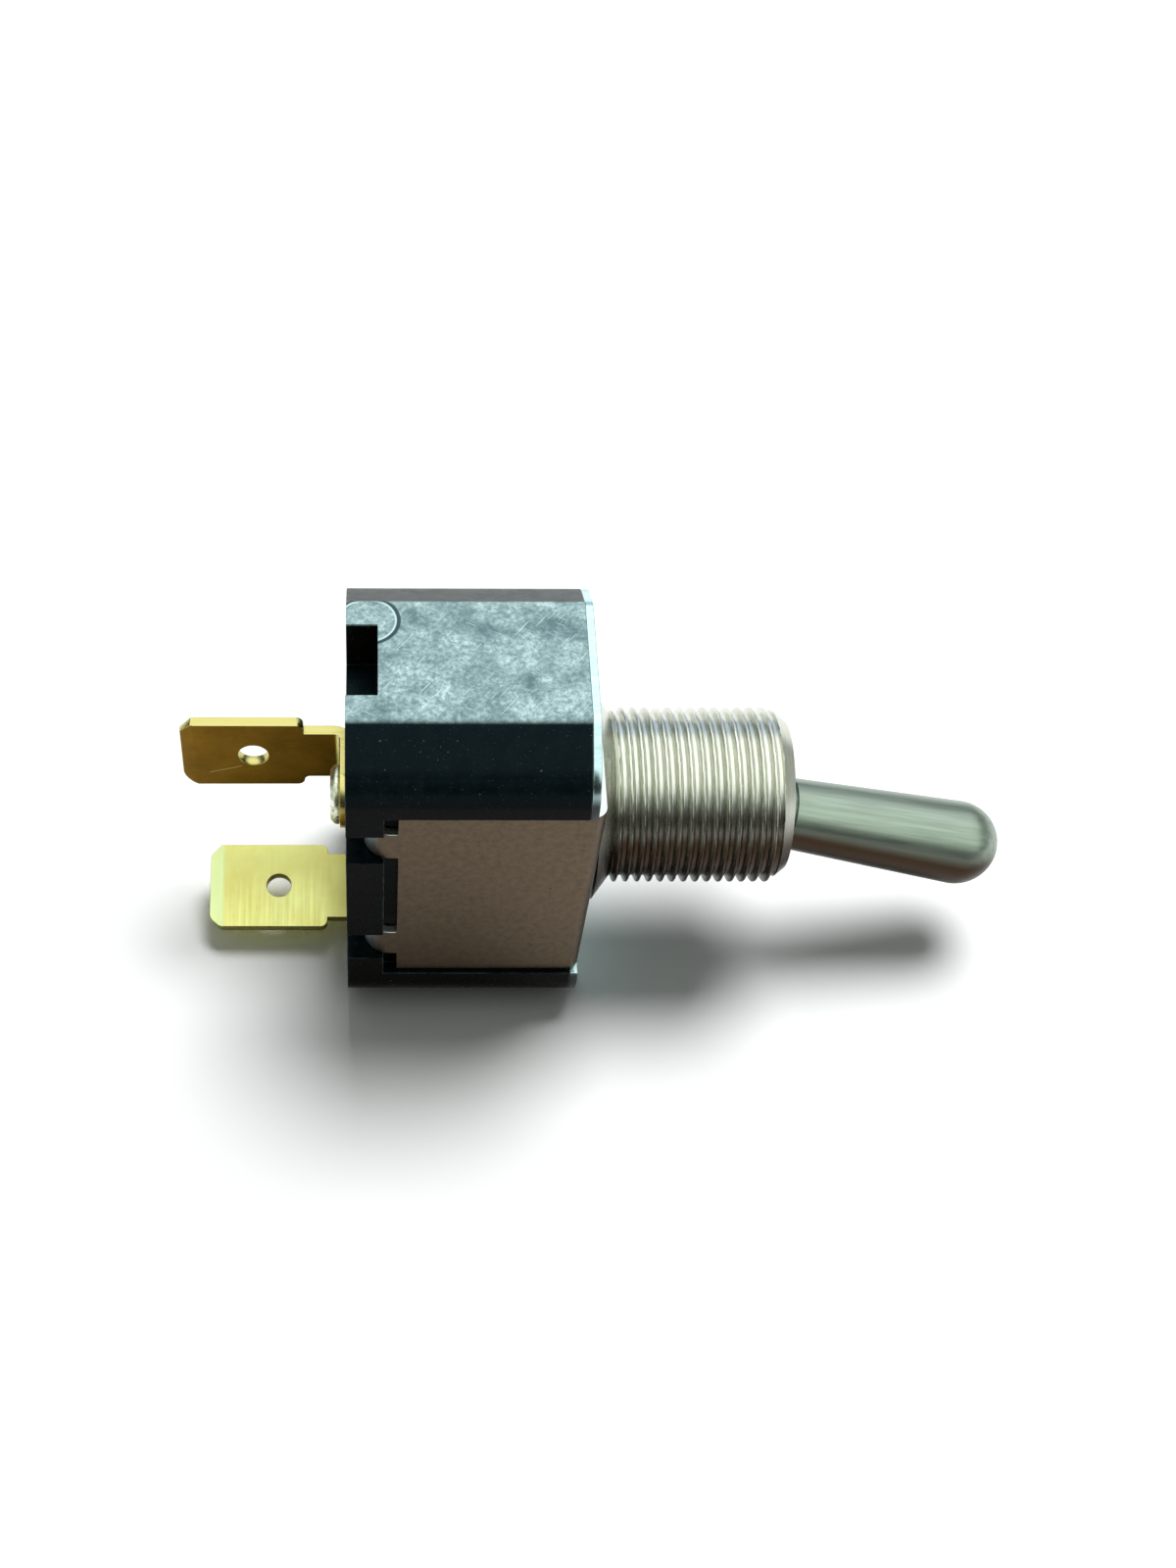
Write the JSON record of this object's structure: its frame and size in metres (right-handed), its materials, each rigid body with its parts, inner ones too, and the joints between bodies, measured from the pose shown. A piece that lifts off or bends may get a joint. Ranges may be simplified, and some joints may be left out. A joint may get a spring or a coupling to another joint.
{
  "type": "toggle_switch",
  "caption": "Panel toggle switch: bat lever in a threaded bushing on a folded steel strap, black moulded case, two brass quick-connect blades at the back",
  "frame": {"origin": "on the bushing's axis, in the plane of the frame strap's front face, which is the face that seats on the back of the panel", "axes": "+X runs along the bushing to the lever side, out through the panel; +Y runs across the case's short side; +Z runs along the case's long side, in the plane the lever swings in, up"},
  "size_m": [0.057, 0.0176, 0.0278],
  "materials": {
    "phenolic": "moulded phenolic, slightly mottled gloss",
    "zinc_steel": "bright zinc plate",
    "fibre": "vulcanised fibre sheet",
    "frame_steel": "plated strip, finely mottled",
    "bushing_nickel": "bright nickel plate on brass",
    "lever_nickel": "satin nickel plate on brass",
    "pin_steel": "ground pin",
    "nylon": "natural nylon",
    "spring_steel": "bare music wire",
    "copper_strip": "bare copper alloy strip",
    "contact_silver": "silver faced button",
    "cradle_brass": "bare stamped brass",
    "end_brass": "bare brass, pale and bright",
    "centre_brass": "bare brass, slightly tarnished",
    "rivet_nickel": "nickel-plated brass rivet"
  },
  "bodies": {
    "housing": {"case": "phenolic", "cover_plate": "zinc_steel", "insulator": "fibre", "frame": "frame_steel", "bushing": "bushing_nickel", "cradle": "cradle_brass", "fixed_contact": "contact_silver", "end_terminal": "end_brass", "centre_terminal": "centre_brass", "centre_rivet": "rivet_nickel"},
    "handle": {"lever": "lever_nickel", "pivot_pin": "pin_steel", "plunger_spring": "spring_steel"},
    "plunger_body": {"plunger": "nylon"},
    "rocker": {"contact_rocker": "copper_strip", "moving_contact": "contact_silver"}
  },
  "joints": [
    {"name": "lever_throw", "type": "hinge", "parent": "housing", "child": "handle", "pos_m": [0.00625, 0, 0], "axis": [0, -1, 0], "range_deg": [0, 30.5]},
    {"name": "plunger_travel", "type": "slide", "parent": "handle", "child": "plunger_body", "axis": [0.9648, 0, -0.263], "range_m": [0, 0.0005], "stiffness_N_per_m": 300, "springref_m": -0.001, "deforming": ["plunger_spring"]},
    {"name": "rocker_turn", "type": "hinge", "parent": "housing", "child": "rocker", "pos_m": [-0.01153, 0, 0], "axis": [0, 1, 0], "range_deg": [0, 16]}
  ],
  "couplings": [
    {"joint": "rocker_turn", "follows": "lever_throw", "ratio": 0.52459}
  ]
}
